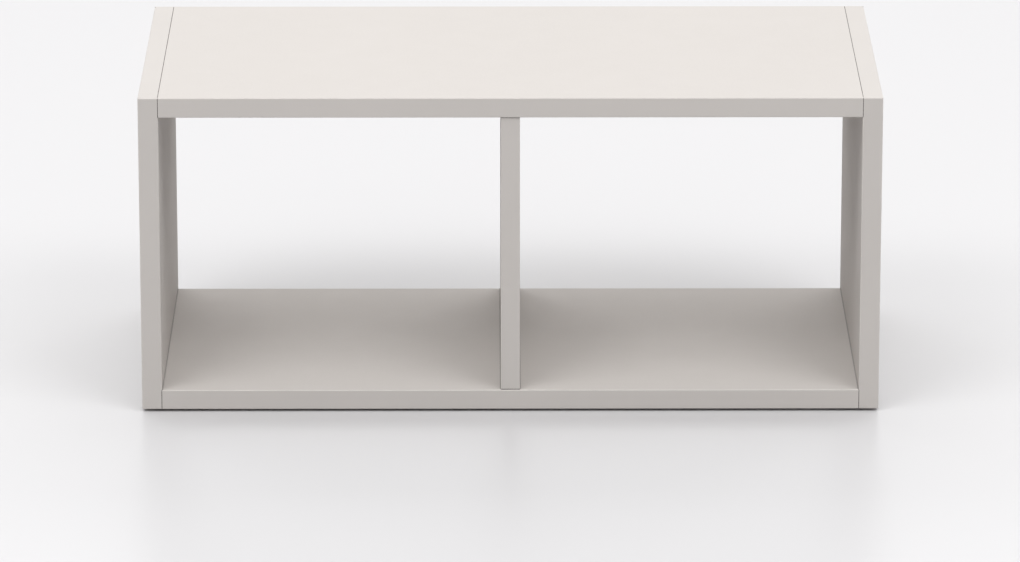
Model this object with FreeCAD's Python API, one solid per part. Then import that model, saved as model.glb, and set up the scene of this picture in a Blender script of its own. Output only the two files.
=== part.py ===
import FreeCAD, Part
import os
from collections import namedtuple

# Open two-compartment shelf of banded boards, held by cam fittings and dowels, in millimetres.
# X runs to the right, Y from the front to the rear and Z up. The origin is on the ground under the
# middle of the shelf.
Vector = FreeCAD.Vector
RIGHT = Vector(1, 0, 0)
REARWARD = Vector(0, 1, 0)
UP = Vector(0, 0, 1)

# Boards
WIDTH = 700.0               # over the two sides
DEPTH = 350.0               # sides and top, front to rear
BODY_HEIGHT = 306.0         # sides, underside to top
PANEL_THICKNESS = 19.0      # sides, top and bottom
DIVIDER_THICKNESS = 18.0
DIVIDER_SETBACK = 1.5       # divider's front edge behind the front of the shelf
BOTTOM_REAR_GAP = 13.0      # bottom and divider stop this far short of the rear

# Edge bands
BAND_THICKNESS = 2.0
BAND_ARRIS = 1.0            # radius along a band's outer edges
ARRIS_LIMIT = 0.9           # most of a band's thickness that its arris may take

# Places of the fittings along each board joint
FITTING_INSET = 50.0        # from a board's front or rear edge to its nearest bolt
DOWEL_SPACING = 32.0        # from a bolt to the dowel beside it
CAM_DISTANCE = 24.0         # from a board's end to the axis of its cams

# Cams
CAM_RAMP = 0.6              # the hollow's centre lies this far off the cam's axis
CAM_WALL = 1.8              # least wall round the hollow
CAM_FLOOR = 1.0             # metal under the hollow
CAM_FIT = 0.1               # running clearance round the cam
CAM_RECESS = 0.2            # cam's face below the board's face
CAM_END_GAP = 0.3           # between the cam and the end of its bore
CAM_CHAMFER = 0.4
DRIVER_SPAN = 7.0           # cross recess for a screwdriver
DRIVER_WIDTH = 1.3
DRIVER_DEPTH = 2.4
MARK_LENGTH = 2.0           # arrow on the cam's face, over the mouth of the hollow
MARK_WIDTH = 1.8
MARK_DEPTH = 0.4
MARK_MARGIN = 0.8           # from the arrow's point to the cam's rim

# Cam bolts
BALL_DIAMETER = 6.0
BALL_OFFSET = 1.1           # ball's centre short of the cam's axis
BALL_CLEARANCE = 0.3        # between the ball and the hollow
MOUTH_CLEARANCE = 0.2       # between the ball and the hollow's mouth
NECK_DIAMETER = 3.6
NECK_CLEARANCE = 0.5
SHANK_DIAMETER = 7.0
SHANK_CLEARANCE = 0.5       # between the shank and the bore in the board's end
SHANK_END_GAP = 0.3         # between the shank and the cam
BOLT_THREAD_DIAMETER = 6.0
BOLT_THREAD_LENGTH = 11.0
BOLT_THREAD_PITCH = 2.0
THREAD_HEIGHT = 0.7         # crest above the core
THREAD_CLEARANCE = 0.05     # between a crest and the board
HOLE_END_GAP = 1.0          # between a fastener's tip and the end of its hole

# Dowels
DOWEL_DIAMETER = 8.0
DOWEL_LENGTH = 30.0
DOWEL_IN_FACE = 11.5        # length in the board that the joint's end meets
DOWEL_CHAMFER = 1.0
DOWEL_CLEARANCE = 0.1

# Glides
GLIDE_DIAMETER = 14.0
GLIDE_HEIGHT = 2.5
GLIDE_CHAMFER = 0.6
GLIDE_INSET = 22.0          # from a board's front or rear edge to a glide's centre
GLIDE_PIN_DIAMETER = 3.0
GLIDE_PIN_LENGTH = 10.0
GLIDE_PIN_CLEARANCE = 0.1

# Blind bores in the rear edge of the top, for hidden rods that stand out of a wall
ROD_BORE_DIAMETER = 10.5
ROD_BORE_DEPTH = 72.0       # from the rear face of the shelf
ROD_SPACING = 480.0         # between the axes of the two bores

# Length by which a cutting shape runs past the face that it cuts through
OVERRUN = 5.0

# Planes worked out from the sizes above
FRONT = -DEPTH / 2
REAR = DEPTH / 2
UNDERSIDE = GLIDE_HEIGHT
TOP = UNDERSIDE + BODY_HEIGHT
OUTSIDE = WIDTH / 2
INSIDE = OUTSIDE - PANEL_THICKNESS
FLOOR = UNDERSIDE + PANEL_THICKNESS
CEILING = TOP - PANEL_THICKNESS
BOTTOM_REAR = REAR - BOTTOM_REAR_GAP
DIVIDER_FRONT = FRONT + DIVIDER_SETBACK
SIDE_MIDDLE = OUTSIDE - PANEL_THICKNESS / 2

# Radii worked out from the sizes above
BALL_RADIUS = BALL_DIAMETER / 2
HOLLOW_RADIUS = BALL_RADIUS + BALL_OFFSET + BALL_CLEARANCE + CAM_RAMP
CAM_RADIUS = HOLLOW_RADIUS + CAM_RAMP + CAM_WALL
CAM_BORE_RADIUS = CAM_RADIUS + CAM_FIT
NECK_RADIUS = NECK_DIAMETER / 2
NECK_SLOT_WIDTH = NECK_DIAMETER + 2 * NECK_CLEARANCE
CREST_RADIUS = BOLT_THREAD_DIAMETER / 2

SIDES = {"left": -1, "right": 1}

# One board joint: the holder's end meets the receiver's face. The corner is on the bolts' line, where
# the two boards meet; inward points from there into the holder, and face out of the holder's drilled
# face. Front and rear are the ends of the line.
BoardJoint = namedtuple("BoardJoint", "name holder receiver corner inward face thickness front rear")


def board_joints():
    """The six joints between the boards."""
    joints = []
    for side, sign in SIDES.items():
        end = Vector(sign * INSIDE, 0, TOP - PANEL_THICKNESS / 2)
        joints.append(BoardJoint("top_" + side, "top_panel", side + "_side_panel", end,
                                 RIGHT * -sign, -UP, PANEL_THICKNESS, FRONT, REAR))
        end = Vector(sign * INSIDE, 0, UNDERSIDE + PANEL_THICKNESS / 2)
        joints.append(BoardJoint("bottom_" + side, "bottom_panel", side + "_side_panel", end,
                                 RIGHT * -sign, -UP, PANEL_THICKNESS, FRONT, BOTTOM_REAR))
    joints.append(BoardJoint("divider_top", "centre_divider", "top_panel", Vector(0, 0, CEILING),
                             -UP, RIGHT, DIVIDER_THICKNESS, DIVIDER_FRONT, BOTTOM_REAR))
    joints.append(BoardJoint("divider_bottom", "centre_divider", "bottom_panel", Vector(0, 0, FLOOR),
                             UP, RIGHT, DIVIDER_THICKNESS, DIVIDER_FRONT, BOTTOM_REAR))
    return joints


def places(joint, inset):
    """Points on a joint's line, at an inset from its front and rear ends."""
    front = joint.corner + REARWARD * (joint.front + inset)
    rear = joint.corner + REARWARD * (joint.rear - inset)
    return {"front": front, "rear": rear}


def bolt_places(joint):
    return places(joint, FITTING_INSET)


def dowel_places(joint):
    return places(joint, FITTING_INSET + DOWEL_SPACING)


def box(x_low, x_high, y_low, y_high, z_low, z_high):
    size = (x_high - x_low, y_high - y_low, z_high - z_low)
    return Part.makeBox(*size, Vector(x_low, y_low, z_low))


def placed(shape, origin, along, normal):
    """A copy with its own X turned to along, its own Z to normal and its own origin to origin."""
    copy = shape.copy()
    turn = FreeCAD.Rotation(along, normal.cross(along), normal, "ZXY")
    copy.Placement = FreeCAD.Placement(origin, turn)
    return copy


def turned(outline):
    """The solid that an outline of (distance, radius) points makes, turned about X."""
    points = [Vector(distance, 0, radius) for distance, radius in outline]
    wire = Part.makePolygon(points + points[:1])
    return Part.Face(wire).revolve(Vector(0, 0, 0), RIGHT, 360)


def rod(radius, start, end):
    """A round bar along X."""
    return Part.makeCylinder(radius, end - start, Vector(start, 0, 0), RIGHT)


def cross(span, width, low, high):
    """Two crossed bars about Z, from low to high."""
    bar = box(-span / 2, span / 2, -width / 2, width / 2, low, high)
    other = box(-width / 2, width / 2, -span / 2, span / 2, low, high)
    return bar.fuse(other)


def thread(start, end, core, crest, pitch):
    """Outline points of the ridges from start to end."""
    points = []
    for turn in range(int((end - start) / pitch)):
        valley = start + turn * pitch
        points += [(valley, core), (valley + pitch / 2, crest)]
    return points + [(end, core)]


def cam_bolt():
    """A bolt along X: thread below the joint's plane, then shank, neck and ball head."""
    core = CREST_RADIUS - THREAD_HEIGHT
    shank = SHANK_DIAMETER / 2
    shank_end = CAM_DISTANCE - CAM_BORE_RADIUS - SHANK_END_GAP
    ball_centre = CAM_DISTANCE - BALL_OFFSET
    tip = -BOLT_THREAD_LENGTH
    outline = [(tip, 0)] + thread(tip, 0, core, CREST_RADIUS, BOLT_THREAD_PITCH)
    outline += [(0, shank), (shank_end, shank), (shank_end, NECK_RADIUS)]
    outline += [(ball_centre, NECK_RADIUS), (ball_centre, 0)]
    ball = Part.makeSphere(BALL_RADIUS, Vector(ball_centre, 0, 0))
    return turned(outline).fuse(ball)


def cam(thickness):
    """A cam about Z, for a bolt that comes in along X, at half the board's thickness under its face.

    The ball lies in an eccentric hollow and the neck in a half-round slot, so half a turn brings the
    wide mouth of the hollow round to the bolt and frees it.
    """
    face = thickness / 2 - CAM_RECESS
    half_hollow = BALL_RADIUS + BALL_CLEARANCE
    base = -half_hollow - CAM_FLOOR
    outline = [(base, 0), (base, CAM_RADIUS), (face - CAM_CHAMFER, CAM_RADIUS),
               (face, CAM_RADIUS - CAM_CHAMFER), (face, 0)]
    body = placed(turned(outline), Vector(0, 0, 0), UP, RIGHT)
    hollow = Part.makeCylinder(HOLLOW_RADIUS, 2 * half_hollow, Vector(CAM_RAMP, 0, -half_hollow), UP)
    reach = CAM_RADIUS + OVERRUN
    half_slot = NECK_SLOT_WIDTH / 2
    swing = Part.makeCylinder(reach, NECK_SLOT_WIDTH, Vector(0, 0, -half_slot), UP, 180)
    straight = box(-reach, reach, -half_slot, half_slot, -half_slot, half_slot)
    mouth = rod(BALL_RADIUS + MOUTH_CLEARANCE, 0, reach)
    driver = cross(DRIVER_SPAN, DRIVER_WIDTH, face - DRIVER_DEPTH, face + OVERRUN)
    return body.cut([hollow, swing, straight, mouth, driver, cam_mark(face)])


def cam_mark(face):
    """The arrow that shows where the mouth of a cam's hollow is."""
    point = CAM_RADIUS - CAM_CHAMFER - MARK_MARGIN
    base = point - MARK_LENGTH
    level = face - MARK_DEPTH
    corners = [Vector(point, 0, level), Vector(base, MARK_WIDTH / 2, level),
               Vector(base, -MARK_WIDTH / 2, level)]
    return Part.Face(Part.makePolygon(corners + corners[:1])).extrude(UP * (MARK_DEPTH + OVERRUN))


def cam_axis_point(joint, place):
    return place + joint.inward * CAM_DISTANCE


def dowel():
    """A dowel along X, through the plane where two boards meet."""
    radius = DOWEL_DIAMETER / 2
    start = -DOWEL_IN_FACE
    end = DOWEL_LENGTH - DOWEL_IN_FACE
    return turned([(start, 0), (start, radius - DOWEL_CHAMFER), (start + DOWEL_CHAMFER, radius),
                   (end - DOWEL_CHAMFER, radius), (end, radius - DOWEL_CHAMFER), (end, 0)])


def holder_holes(joint):
    """Holes in the board that holds a joint's cams."""
    base = -BALL_RADIUS - BALL_CLEARANCE - CAM_FLOOR - CAM_END_GAP
    mouth = joint.thickness / 2 + OVERRUN
    cam_bore = Part.makeCylinder(CAM_BORE_RADIUS, mouth - base, Vector(CAM_DISTANCE, 0, base), UP)
    bolt_bore = rod(SHANK_DIAMETER / 2 + SHANK_CLEARANCE, -OVERRUN, CAM_DISTANCE)
    dowel_end = DOWEL_LENGTH - DOWEL_IN_FACE + HOLE_END_GAP
    dowel_bore = rod(DOWEL_DIAMETER / 2 + DOWEL_CLEARANCE, -OVERRUN, dowel_end)
    holes = []
    for place in bolt_places(joint).values():
        holes.append(placed(cam_bore.fuse(bolt_bore), place, joint.inward, joint.face))
    for place in dowel_places(joint).values():
        holes.append(placed(dowel_bore, place, joint.inward, joint.face))
    return holes


def receiver_holes(joint):
    """Holes in the board that a joint's bolts and dowels go into."""
    bolt_hole = rod(CREST_RADIUS + THREAD_CLEARANCE, -BOLT_THREAD_LENGTH - HOLE_END_GAP, OVERRUN)
    dowel_hole = rod(DOWEL_DIAMETER / 2 + DOWEL_CLEARANCE, -DOWEL_IN_FACE - HOLE_END_GAP, OVERRUN)
    holes = []
    for place in bolt_places(joint).values():
        holes.append(placed(bolt_hole, place, joint.inward, joint.face))
    for place in dowel_places(joint).values():
        holes.append(placed(dowel_hole, place, joint.inward, joint.face))
    return holes


def fitting_holes(node):
    """All holes for cams, bolts and dowels in one board."""
    holes = []
    for joint in board_joints():
        if joint.holder == node:
            holes += holder_holes(joint)
        if joint.receiver == node:
            holes += receiver_holes(joint)
    return holes


def glide_places():
    """Where each glide's pin enters the boards."""
    spots = {}
    for side, sign in SIDES.items():
        spots[side + "_front"] = Vector(sign * SIDE_MIDDLE, FRONT + GLIDE_INSET, UNDERSIDE)
        spots[side + "_rear"] = Vector(sign * SIDE_MIDDLE, REAR - GLIDE_INSET, UNDERSIDE)
    spots["centre_front"] = Vector(0, FRONT + GLIDE_INSET, UNDERSIDE)
    spots["centre_rear"] = Vector(0, BOTTOM_REAR - GLIDE_INSET, UNDERSIDE)
    return spots


def glide():
    """A glide along X: a chamfered disc below the board and a pointed pin in it."""
    radius = GLIDE_DIAMETER / 2
    pin = GLIDE_PIN_DIAMETER / 2
    return turned([(-GLIDE_HEIGHT, 0), (-GLIDE_HEIGHT, radius - GLIDE_CHAMFER),
                   (GLIDE_CHAMFER - GLIDE_HEIGHT, radius), (0, radius), (0, pin),
                   (GLIDE_PIN_LENGTH - GLIDE_PIN_DIAMETER, pin), (GLIDE_PIN_LENGTH, 0)])


def glide_holes(position):
    """Holes for the two glides under the left side, the right side or the centre."""
    hole = rod(GLIDE_PIN_DIAMETER / 2 + GLIDE_PIN_CLEARANCE, -OVERRUN, GLIDE_PIN_LENGTH + HOLE_END_GAP)
    return [placed(hole, spot, UP, RIGHT) for name, spot in glide_places().items()
            if name.startswith(position)]


def rod_bores():
    """The two bores in the rear edge of the top, at half its thickness."""
    bore = rod(ROD_BORE_DIAMETER / 2, -OVERRUN, ROD_BORE_DEPTH)
    level = TOP - PANEL_THICKNESS / 2
    mouths = [Vector(sign * ROD_SPACING / 2, REAR, level) for sign in SIDES.values()]
    return [placed(bore, mouth, -REARWARD, UP) for mouth in mouths]


def side_panel(side):
    sign = SIDES[side]
    x_low, x_high = sorted((sign * INSIDE, sign * OUTSIDE))
    board = box(x_low, x_high, FRONT + BAND_THICKNESS, REAR - BAND_THICKNESS,
                UNDERSIDE + BAND_THICKNESS, TOP - BAND_THICKNESS)
    return board.cut(fitting_holes(side + "_side_panel") + glide_holes(side))


def top_panel():
    board = box(-INSIDE, INSIDE, FRONT + BAND_THICKNESS, REAR - BAND_THICKNESS, CEILING, TOP)
    return board.cut(fitting_holes("top_panel") + rod_bores())


def bottom_panel():
    board = box(-INSIDE, INSIDE, FRONT + BAND_THICKNESS, BOTTOM_REAR - BAND_THICKNESS, UNDERSIDE, FLOOR)
    return board.cut(fitting_holes("bottom_panel") + glide_holes("centre"))


def centre_divider():
    half = DIVIDER_THICKNESS / 2
    board = box(-half, half, DIVIDER_FRONT + BAND_THICKNESS, BOTTOM_REAR - BAND_THICKNESS, FLOOR, CEILING)
    return board.cut(fitting_holes("centre_divider"))


def rounded(strip, outward, free_ends):
    """A strip with its outer edges rounded: the two long ones, and those at its ends if they are free."""
    outer = max(vertex.Point.dot(outward) for vertex in strip.Vertexes)
    on_face = [edge for edge in strip.Edges if abs(edge.CenterOfMass.dot(outward) - outer) < 1e-6]
    longest = max(edge.Length for edge in on_face)
    chosen = [edge for edge in on_face if free_ends or edge.Length > longest / 2]
    return strip.makeFillet(min(BAND_ARRIS, ARRIS_LIMIT * BAND_THICKNESS), chosen)


def upright_band(x_low, x_high, z_low, z_high, level, outward, free_ends=False):
    """A band on a front or rear edge, whose outer face is at a level along Y."""
    inner = level - outward.y * BAND_THICKNESS
    y_low, y_high = sorted((inner, level))
    return rounded(box(x_low, x_high, y_low, y_high, z_low, z_high), outward, free_ends)


def side_bands(side):
    """The four bands round one side; the front and rear ones run the full height."""
    sign = SIDES[side]
    x_low, x_high = sorted((sign * INSIDE, sign * OUTSIDE))
    between = (FRONT + BAND_THICKNESS, REAR - BAND_THICKNESS)
    top_strip = box(x_low, x_high, *between, TOP - BAND_THICKNESS, TOP)
    bottom_strip = box(x_low, x_high, *between, UNDERSIDE, UNDERSIDE + BAND_THICKNESS)
    return {
        "front": upright_band(x_low, x_high, UNDERSIDE, TOP, FRONT, -REARWARD, free_ends=True),
        "rear": upright_band(x_low, x_high, UNDERSIDE, TOP, REAR, REARWARD, free_ends=True),
        "top": rounded(top_strip, UP, free_ends=False),
        "bottom": rounded(bottom_strip, -UP, free_ends=False).cut(glide_holes(side)),
    }


def bands():
    """Every edge band by its node's name."""
    strips = {}
    for side in SIDES:
        for edge, strip in side_bands(side).items():
            strips[side + "_side_" + edge + "_band"] = strip
    half = DIVIDER_THICKNESS / 2
    strips["top_front_band"] = upright_band(-INSIDE, INSIDE, CEILING, TOP, FRONT, -REARWARD)
    top_rear = upright_band(-INSIDE, INSIDE, CEILING, TOP, REAR, REARWARD)
    strips["top_rear_band"] = top_rear.cut(rod_bores())
    strips["bottom_front_band"] = upright_band(-INSIDE, INSIDE, UNDERSIDE, FLOOR, FRONT, -REARWARD)
    strips["bottom_rear_band"] = upright_band(-INSIDE, INSIDE, UNDERSIDE, FLOOR, BOTTOM_REAR, REARWARD)
    strips["divider_front_band"] = upright_band(-half, half, FLOOR, CEILING, DIVIDER_FRONT, -REARWARD)
    strips["divider_rear_band"] = upright_band(-half, half, FLOOR, CEILING, BOTTOM_REAR, REARWARD)
    return strips


def boards():
    """The five boards by node name."""
    panels = {side + "_side_panel": side_panel(side) for side in SIDES}
    panels["top_panel"] = top_panel()
    panels["bottom_panel"] = bottom_panel()
    panels["centre_divider"] = centre_divider()
    return panels


def fittings():
    """Each cam by its node's name, and the bolts and dowels as one group each."""
    pieces = {}
    bolts = []
    pegs = []
    for joint in board_joints():
        for end, place in bolt_places(joint).items():
            axis_point = cam_axis_point(joint, place)
            pieces["cam_" + joint.name + "_" + end] = placed(cam(joint.thickness), axis_point,
                                                             joint.inward, joint.face)
            bolts.append(placed(cam_bolt(), place, joint.inward, joint.face))
        pegs += [placed(dowel(), place, joint.inward, joint.face) for place in dowel_places(joint).values()]
    pieces["cam_bolts"] = Part.makeCompound(bolts)
    pieces["dowels"] = Part.makeCompound(pegs)
    return pieces


def glides():
    """Each glide by its node's name."""
    return {"glide_" + name: placed(glide(), spot, UP, RIGHT) for name, spot in glide_places().items()}


def main():
    os.makedirs("parts", exist_ok=True)
    nodes = {**boards(), **bands(), **fittings(), **glides()}
    for name, shape in nodes.items():
        Part.makeCompound(shape.Solids).exportStep("parts/" + name + ".step")
        print(name, len(shape.Solids), "solids", round(shape.Volume, 1), "mm3", shape.isValid())


main()
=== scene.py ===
"""The looks of an open shelf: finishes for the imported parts, a pale floor, soft light and a camera."""
import math

import bpy
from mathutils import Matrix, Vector


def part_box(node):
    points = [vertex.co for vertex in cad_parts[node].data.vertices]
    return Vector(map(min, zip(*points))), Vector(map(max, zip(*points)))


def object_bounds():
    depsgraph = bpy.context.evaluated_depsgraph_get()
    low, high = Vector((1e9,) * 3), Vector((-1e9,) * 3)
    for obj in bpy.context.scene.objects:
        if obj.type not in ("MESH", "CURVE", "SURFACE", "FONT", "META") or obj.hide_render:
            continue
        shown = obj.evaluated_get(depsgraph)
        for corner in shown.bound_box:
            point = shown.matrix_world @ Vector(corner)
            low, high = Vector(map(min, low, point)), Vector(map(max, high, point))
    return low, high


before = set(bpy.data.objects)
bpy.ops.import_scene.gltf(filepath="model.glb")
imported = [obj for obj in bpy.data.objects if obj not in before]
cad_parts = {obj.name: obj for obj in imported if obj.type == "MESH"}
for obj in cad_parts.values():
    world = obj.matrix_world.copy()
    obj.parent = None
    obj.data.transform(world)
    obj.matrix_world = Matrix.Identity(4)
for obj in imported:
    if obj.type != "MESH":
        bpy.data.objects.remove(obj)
cad_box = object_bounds()

# Finishes, as linear colours
MELAMINE = (0.550, 0.521, 0.497)
CHIP_PALE = (0.52, 0.36, 0.20)
CHIP_DARK = (0.22, 0.13, 0.065)
ZINC = (0.56, 0.56, 0.57)
STEEL = (0.66, 0.65, 0.62)
BEECH_PALE = (0.62, 0.42, 0.25)
BEECH_DARK = (0.43, 0.25, 0.13)
GLIDE = (0.030, 0.028, 0.026)
FLOOR = (0.600, 0.594, 0.602)

BOARD_GLOSS = 0.04          # the board's and the bands' specular level
JOINT_PAINTED_SHADE = 0.10          # how dark the painted shade in the joints is, against the plain board
CORNER_PAINTED_SHADE = 0.65         # the same painted shade for the inside corners
ARRIS_WEAR_AND_HIGHLIGHT = 1.30        # how pale the bands' arrises are, against the plain board: scraped wear and a painted highlight
CORNER_REACH = 0.0015       # how far from an inside corner its painted shade reaches, in metres
JOINT_REACH = 0.0008        # the same for the joints

# Patterns: how often they repeat in a metre
BOARD_CLOUDS = 5.0
BOARD_SPECKS = 900.0
BOARD_SMEARS = 40.0
BOARD_PEARL = 1400.0
BAND_CLOUDS = 9.0
BAND_SCUFFS = 60.0
BAND_GRAIN = 700.0
CHIPS = 420.0
CHIP_FUZZ = 300.0
ZINC_GRAIN = 1500.0
STEEL_GRAIN = 2500.0
METAL_TARNISH = 180.0
METAL_SMEARS = 350.0
BEECH_GRAIN = 500.0
GLIDE_SCUFFS = 260.0
GLIDE_GRAIN = 2200.0

# How deep their relief is, in metres
BOARD_RELIEF = 0.00002
CHIP_RELIEF = 0.0004
METAL_RELIEF = 0.00003
BEECH_RELIEF = 0.0001
GLIDE_RELIEF = 0.00004

# How wide the worn edges are, in metres
METAL_WEAR = 0.0005
GLIDE_WEAR = 0.0008

# Light
BACKGROUND = 0.92           # what camera and mirror rays see past the floor
HORIZON_LIGHT = 0.0
ZENITH_LIGHT = 1.26
FRONT_PLACE = Vector((0.0, -6.7, 3.9))
FRONT_SIZE = (12.0, 3.0)
FRONT_POWER = 76.0
CORNER_PLACES = {"left": Vector((-3.5, -3.5, 6.0)), "right": Vector((3.5, -3.5, 6.0))}
CORNER_SIZE = (4.0, 3.0)
CORNER_POWER = 140.0
REAR_PLACE = Vector((0.0, 6.2, 4.6))
REAR_SIZE = (12.0, 5.0)
REAR_POWER = 333.0

# Floor
FLOOR_REACH = 40.0
FLOOR_ROUGHNESS = 0.32
FLOOR_GLOSS = 0.10

# Camera, in metres and radians: a fit to the photograph's edges for the depth that the shelf has
CAMERA_PLACE = Vector((-0.02035, -6.24190, 1.93836))
CAMERA_TILT = 0.28976       # below the horizon
CAMERA_TURN = -0.00329      # about the upright
FOCAL_PIXELS = 6694.16
IMAGE_WIDTH = 1020
SENSOR_WIDTH = 36.0

BOARDS = ("left_side_panel", "right_side_panel", "top_panel", "bottom_panel", "centre_divider")
FLATNESS = 1e-5             # how near a face has to be to a board's own broad face


def node(tree, kind, settings=None, **inputs):
    """A new node: settings are its properties, inputs its sockets' values or the sockets they link to."""
    made = tree.nodes.new(kind)
    for name, value in (settings or {}).items():
        setattr(made, name, value)
    for name, value in inputs.items():
        socket = made.inputs[name.replace("_", " ")]
        if isinstance(value, bpy.types.NodeSocket):
            tree.links.new(value, socket)
        else:
            socket.default_value = value
    return made


def new_finish(name):
    """A material with its node tree, its shader and the place coordinate that its patterns follow."""
    material = bpy.data.materials.new(name)
    material.use_nodes = True
    tree = material.node_tree
    shader = tree.nodes["Principled BSDF"]
    place = node(tree, "ShaderNodeTexCoord").outputs["Object"]
    return material, tree, shader, place


def noise(tree, place, scale, detail=2.0):
    """A noise pattern's value."""
    return node(tree, "ShaderNodeTexNoise", Vector=place, Scale=scale, Detail=detail).outputs["Fac"]


def spread(tree, value, low, high, start=0.3, end=0.7):
    """A pattern's value, mapped from its usual range to the range from low to high."""
    mapped = node(tree, "ShaderNodeMapRange", Value=value, From_Min=start, From_Max=end,
                  To_Min=low, To_Max=high)
    return mapped.outputs["Result"]


def tones(tree, factor, first, second):
    """A colour between two tones."""
    mixed = node(tree, "ShaderNodeMix", {"data_type": "RGBA"})
    tree.links.new(factor, mixed.inputs["Factor"])
    for socket, value in ((mixed.inputs[6], first), (mixed.inputs[7], second)):
        if isinstance(value, bpy.types.NodeSocket):
            tree.links.new(value, socket)
        else:
            socket.default_value = (*value, 1.0)
    return mixed.outputs[2]


def scaled(colour, factor):
    """A colour made darker or paler."""
    return tuple(channel * factor for channel in colour)


def bump(tree, shader, height, distance, strength):
    """Relief on the shader from a pattern's value."""
    made = node(tree, "ShaderNodeBump", Height=height, Distance=distance, Strength=strength)
    tree.links.new(made.outputs["Normal"], shader.inputs["Normal"])


def edge_mask(tree, radius):
    """Near 1 on the arrises of a piece, 0 on its flat faces."""
    bevel = node(tree, "ShaderNodeBevel", {"samples": 6}, Radius=radius).outputs["Normal"]
    normal = node(tree, "ShaderNodeNewGeometry").outputs["Normal"]
    facing = node(tree, "ShaderNodeVectorMath", {"operation": "DOT_PRODUCT"})
    tree.links.new(bevel, facing.inputs[0])
    tree.links.new(normal, facing.inputs[1])
    return spread(tree, facing.outputs["Value"], 1.0, 0.0, 0.80, 0.99)


def largest_of(tree, values):
    """The largest of several values."""
    largest = values[0]
    for value in values[1:]:
        either = node(tree, "ShaderNodeMath", {"operation": "MAXIMUM"})
        tree.links.new(largest, either.inputs[0])
        tree.links.new(value, either.inputs[1])
        largest = either.outputs[0]
    return largest


def arris_mask(tree):
    """Near 1 on the rounded arrises of a piece that lies square in the frame, 0 on its flat faces."""
    normal = node(tree, "ShaderNodeNewGeometry").outputs["Normal"]
    sizes = node(tree, "ShaderNodeVectorMath", {"operation": "ABSOLUTE"})
    tree.links.new(normal, sizes.inputs[0])
    along = node(tree, "ShaderNodeSeparateXYZ", Vector=sizes.outputs[0])
    return spread(tree, largest_of(tree, along.outputs[:]), 1.0, 0.0, 0.75, 0.97)


def painted_shade_mask(tree, reach):
    """A mask for painted shade, from ambient occlusion: 0 deep in a joint or a corner, 1 on open faces.
    """
    open_share = node(tree, "ShaderNodeAmbientOcclusion", {"samples": 8}, Distance=reach).outputs["AO"]
    return spread(tree, open_share, 0.0, 1.0, 0.75, 0.98)


def melamine():
    """Matt melamine paper: cloudy and finely speckled colour, with a pearl texture, and painted shade in
    the inside corners.
    """
    material, tree, shader, place = new_finish("melamine_board_finish")
    clouds = spread(tree, noise(tree, place, BOARD_CLOUDS), 0.0, 1.0)
    specks = spread(tree, noise(tree, place, BOARD_SPECKS), 0.0, 1.0)
    cloudy = tones(tree, clouds, scaled(MELAMINE, 0.988), scaled(MELAMINE, 1.012))
    speckled = tones(tree, specks, cloudy, scaled(MELAMINE, 1.03))
    # Painted shade: the board's colour darkens in inside corners, by ambient occlusion.
    with_painted_shade = tones(tree, painted_shade_mask(tree, CORNER_REACH), scaled(MELAMINE, CORNER_PAINTED_SHADE), speckled)
    tree.links.new(with_painted_shade, shader.inputs["Base Color"])
    shader.inputs["Specular IOR Level"].default_value = BOARD_GLOSS
    tree.links.new(spread(tree, noise(tree, place, BOARD_SMEARS), 0.55, 0.65), shader.inputs["Roughness"])
    bump(tree, shader, noise(tree, place, BOARD_PEARL), BOARD_RELIEF, 0.35)
    return material


def edge_band():
    """Plastic edge band in the board's colour: a little smoother, with arrises paled by wear and a
    painted highlight, and painted shade in the joints.
    """
    material, tree, shader, place = new_finish("edge_band_finish")
    clouds = spread(tree, noise(tree, place, BAND_CLOUDS), 0.0, 1.0)
    even = tones(tree, clouds, scaled(MELAMINE, 0.985), scaled(MELAMINE, 1.01))
    scuffs = spread(tree, noise(tree, place, BAND_SCUFFS, 6.0), 0.5, 1.0, 0.35, 0.65)
    arris = arris_mask(tree)
    worn = node(tree, "ShaderNodeMath", {"operation": "MULTIPLY"})
    tree.links.new(scuffs, worn.inputs[0])
    tree.links.new(arris, worn.inputs[1])
    # Painted highlight and wear: the scuffed arrises are made paler, also where they would shade dark.
    wear_and_highlight = tones(tree, worn.outputs[0], even, scaled(MELAMINE, ARRIS_WEAR_AND_HIGHLIGHT))
    # Painted shade: the band's colour darkens in the joints, by ambient occlusion.
    with_painted_shade = tones(tree, painted_shade_mask(tree, JOINT_REACH), scaled(MELAMINE, JOINT_PAINTED_SHADE), wear_and_highlight)
    tree.links.new(with_painted_shade, shader.inputs["Base Color"])
    shader.inputs["Specular IOR Level"].default_value = BOARD_GLOSS
    tree.links.new(spread(tree, worn.outputs[0], 0.52, 0.40, 0.0, 1.0), shader.inputs["Roughness"])
    bump(tree, shader, noise(tree, place, BAND_GRAIN), BOARD_RELIEF, 0.3)
    return material


def chipboard():
    """Raw chipboard in the drilled holes: flat chips of several browns."""
    material, tree, shader, place = new_finish("chipboard_core_finish")
    chips = node(tree, "ShaderNodeTexVoronoi", Vector=place, Scale=CHIPS)
    tone = node(tree, "ShaderNodeSeparateColor", Color=chips.outputs["Color"]).outputs["Red"]
    tree.links.new(tones(tree, tone, CHIP_DARK, CHIP_PALE), shader.inputs["Base Color"])
    tree.links.new(spread(tree, noise(tree, place, CHIP_FUZZ), 0.75, 0.95), shader.inputs["Roughness"])
    bump(tree, shader, chips.outputs["Distance"], CHIP_RELIEF, 0.8)
    return material


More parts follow.
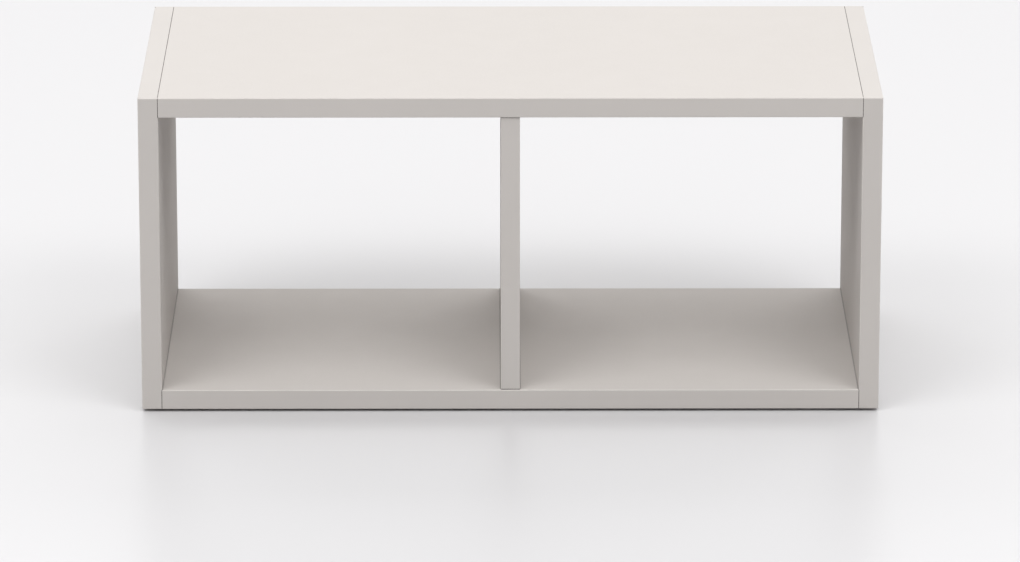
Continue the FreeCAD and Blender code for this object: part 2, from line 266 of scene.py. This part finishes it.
def metal(name, colour, rough, grain):
    """Metal with fine grain, slightly uneven tarnish and bright worn edges."""
    material, tree, shader, place = new_finish(name)
    shader.inputs["Metallic"].default_value = 1.0
    tarnish = spread(tree, noise(tree, place, METAL_TARNISH, 4.0), 0.0, 1.0)
    worn = edge_mask(tree, METAL_WEAR)
    dull = tones(tree, tarnish, scaled(colour, 0.82), colour)
    tree.links.new(tones(tree, worn, dull, scaled(colour, 1.25)), shader.inputs["Base Color"])
    tree.links.new(spread(tree, noise(tree, place, METAL_SMEARS), rough - 0.06, rough + 0.08),
                   shader.inputs["Roughness"])
    bump(tree, shader, noise(tree, place, grain), METAL_RELIEF, 0.5)
    return material


def beech():
    """Beech of the dowels: fine grain in two browns."""
    material, tree, shader, place = new_finish("beech_finish")
    grain = spread(tree, noise(tree, place, BEECH_GRAIN, 4.0), 0.0, 1.0)
    tree.links.new(tones(tree, grain, BEECH_DARK, BEECH_PALE), shader.inputs["Base Color"])
    tree.links.new(spread(tree, grain, 0.7, 0.5, 0.0, 1.0), shader.inputs["Roughness"])
    bump(tree, shader, grain, BEECH_RELIEF, 0.4)
    return material


def glide_plastic():
    """Dark moulded plastic with a fine erosion texture, and scuffed edges."""
    material, tree, shader, place = new_finish("glide_plastic_finish")
    scuffs = spread(tree, noise(tree, place, GLIDE_SCUFFS, 5.0), 0.0, 1.0)
    worn = edge_mask(tree, GLIDE_WEAR)
    plain = tones(tree, scuffs, GLIDE, scaled(GLIDE, 1.5))
    tree.links.new(tones(tree, worn, plain, scaled(GLIDE, 2.6)), shader.inputs["Base Color"])
    tree.links.new(spread(tree, scuffs, 0.48, 0.62, 0.0, 1.0), shader.inputs["Roughness"])
    bump(tree, shader, noise(tree, place, GLIDE_GRAIN), GLIDE_RELIEF, 0.6)
    return material


def dress_board(piece, face, core):
    """The face finish on a board's two broad faces, and the core on its edges and in its holes."""
    low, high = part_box(piece.name)
    size = high - low
    thin = min(range(3), key=lambda axis: size[axis])
    mesh = piece.data
    mesh.materials.clear()
    mesh.materials.append(face)
    mesh.materials.append(core)
    for polygon in mesh.polygons:
        level = polygon.center[thin]
        broad = min(level - low[thin], high[thin] - level) < FLATNESS
        polygon.material_index = 0 if broad else 1


def dress(piece, finish):
    """One finish on a whole piece."""
    piece.data.materials.clear()
    piece.data.materials.append(finish)


def dress_all():
    """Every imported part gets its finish, by its name."""
    face = melamine()
    core = chipboard()
    finishes = {
        "edge_band": edge_band(),
        "die_cast_zinc": metal("die_cast_zinc_finish", ZINC, 0.42, ZINC_GRAIN),
        "zinc_plated_steel": metal("zinc_plated_steel_finish", STEEL, 0.28, STEEL_GRAIN),
        "beech": beech(),
        "glide_plastic": glide_plastic(),
    }
    for name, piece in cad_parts.items():
        if name in BOARDS:
            dress_board(piece, face, core)
        elif name.endswith("_band"):
            dress(piece, finishes["edge_band"])
        elif name == "cam_bolts":
            dress(piece, finishes["zinc_plated_steel"])
        elif name.startswith("cam_"):
            dress(piece, finishes["die_cast_zinc"])
        elif name == "dowels":
            dress(piece, finishes["beech"])
        else:
            dress(piece, finishes["glide_plastic"])


def seen_directly(tree):
    """1 for rays that come from the camera, a mirror or glass, and 0 for rays that carry light."""
    path = node(tree, "ShaderNodeLightPath")
    kinds = ("Is Camera Ray", "Is Glossy Ray", "Is Transmission Ray")
    return largest_of(tree, [path.outputs[kind] for kind in kinds])


def lay_floor():
    """A wide pale floor, faintly glossy, that lets views from below through."""
    mesh = bpy.data.meshes.new("floor")
    reach = FLOOR_REACH
    corners = [(-reach, -reach, 0), (reach, -reach, 0), (reach, reach, 0), (-reach, reach, 0)]
    mesh.from_pydata(corners, [], [(0, 1, 2, 3)])
    floor = bpy.data.objects.new("floor", mesh)
    bpy.context.scene.collection.objects.link(floor)
    material, tree, shader, _ = new_finish("floor")
    shader.inputs["Base Color"].default_value = (*FLOOR, 1.0)
    shader.inputs["Roughness"].default_value = FLOOR_ROUGHNESS
    shader.inputs["Specular IOR Level"].default_value = FLOOR_GLOSS
    below = node(tree, "ShaderNodeNewGeometry").outputs["Backfacing"]
    sides = node(tree, "ShaderNodeMixShader", Fac=below)
    tree.links.new(shader.outputs[0], sides.inputs[1])
    tree.links.new(node(tree, "ShaderNodeBsdfTransparent").outputs[0], sides.inputs[2])
    tree.links.new(sides.outputs[0], tree.nodes["Material Output"].inputs["Surface"])
    mesh.materials.append(material)


def light_dome():
    """A soft dome, brighter overhead; camera and mirror rays see an even pale background."""
    world = bpy.data.worlds.new("studio")
    bpy.context.scene.world = world
    world.use_nodes = True
    tree = world.node_tree
    light = tree.nodes["Background"]
    direction = node(tree, "ShaderNodeTexCoord").outputs["Generated"]
    height = node(tree, "ShaderNodeSeparateXYZ", Vector=direction).outputs["Z"]
    level = spread(tree, height, HORIZON_LIGHT, ZENITH_LIGHT, 0.0, 1.0)
    tree.links.new(level, light.inputs["Strength"])
    light.inputs["Color"].default_value = (1.0, 1.0, 1.0, 1.0)
    backdrop = node(tree, "ShaderNodeBackground", Color=(1.0, 1.0, 1.0, 1.0), Strength=BACKGROUND)
    chosen = node(tree, "ShaderNodeMixShader", Fac=seen_directly(tree))
    tree.links.new(light.outputs[0], chosen.inputs[1])
    tree.links.new(backdrop.outputs[0], chosen.inputs[2])
    tree.links.new(chosen.outputs[0], tree.nodes["World Output"].inputs["Surface"])


def softbox(name, place, size, power):
    """An area light that looks at the middle of the shelf."""
    light = bpy.data.lights.new(name, "AREA")
    light.shape = "RECTANGLE"
    light.size, light.size_y = size
    light.energy = power
    lamp = bpy.data.objects.new(name, light)
    lamp.location = place
    middle = (cad_box[0] + cad_box[1]) / 2
    lamp.rotation_euler = (middle - place).to_track_quat("-Z", "Y").to_euler()
    bpy.context.scene.collection.objects.link(lamp)


def set_camera():
    """A camera without lens shift that frames the shelf nearly as the photograph does."""
    lens = bpy.data.cameras.new("camera")
    lens.sensor_width = SENSOR_WIDTH
    lens.lens = FOCAL_PIXELS / IMAGE_WIDTH * SENSOR_WIDTH
    camera = bpy.data.objects.new("camera", lens)
    camera.location = CAMERA_PLACE
    camera.rotation_euler = (math.pi / 2 - CAMERA_TILT, 0.0, CAMERA_TURN)
    bpy.context.scene.collection.objects.link(camera)
    bpy.context.scene.camera = camera


dress_all()
lay_floor()
light_dome()
softbox("front_softbox", FRONT_PLACE, FRONT_SIZE, FRONT_POWER)
for side, place in CORNER_PLACES.items():
    softbox(side + "_softbox", place, CORNER_SIZE, CORNER_POWER)
softbox("rear_softbox", REAR_PLACE, REAR_SIZE, REAR_POWER)
set_camera()
bpy.context.scene.view_settings.view_transform = "Standard"
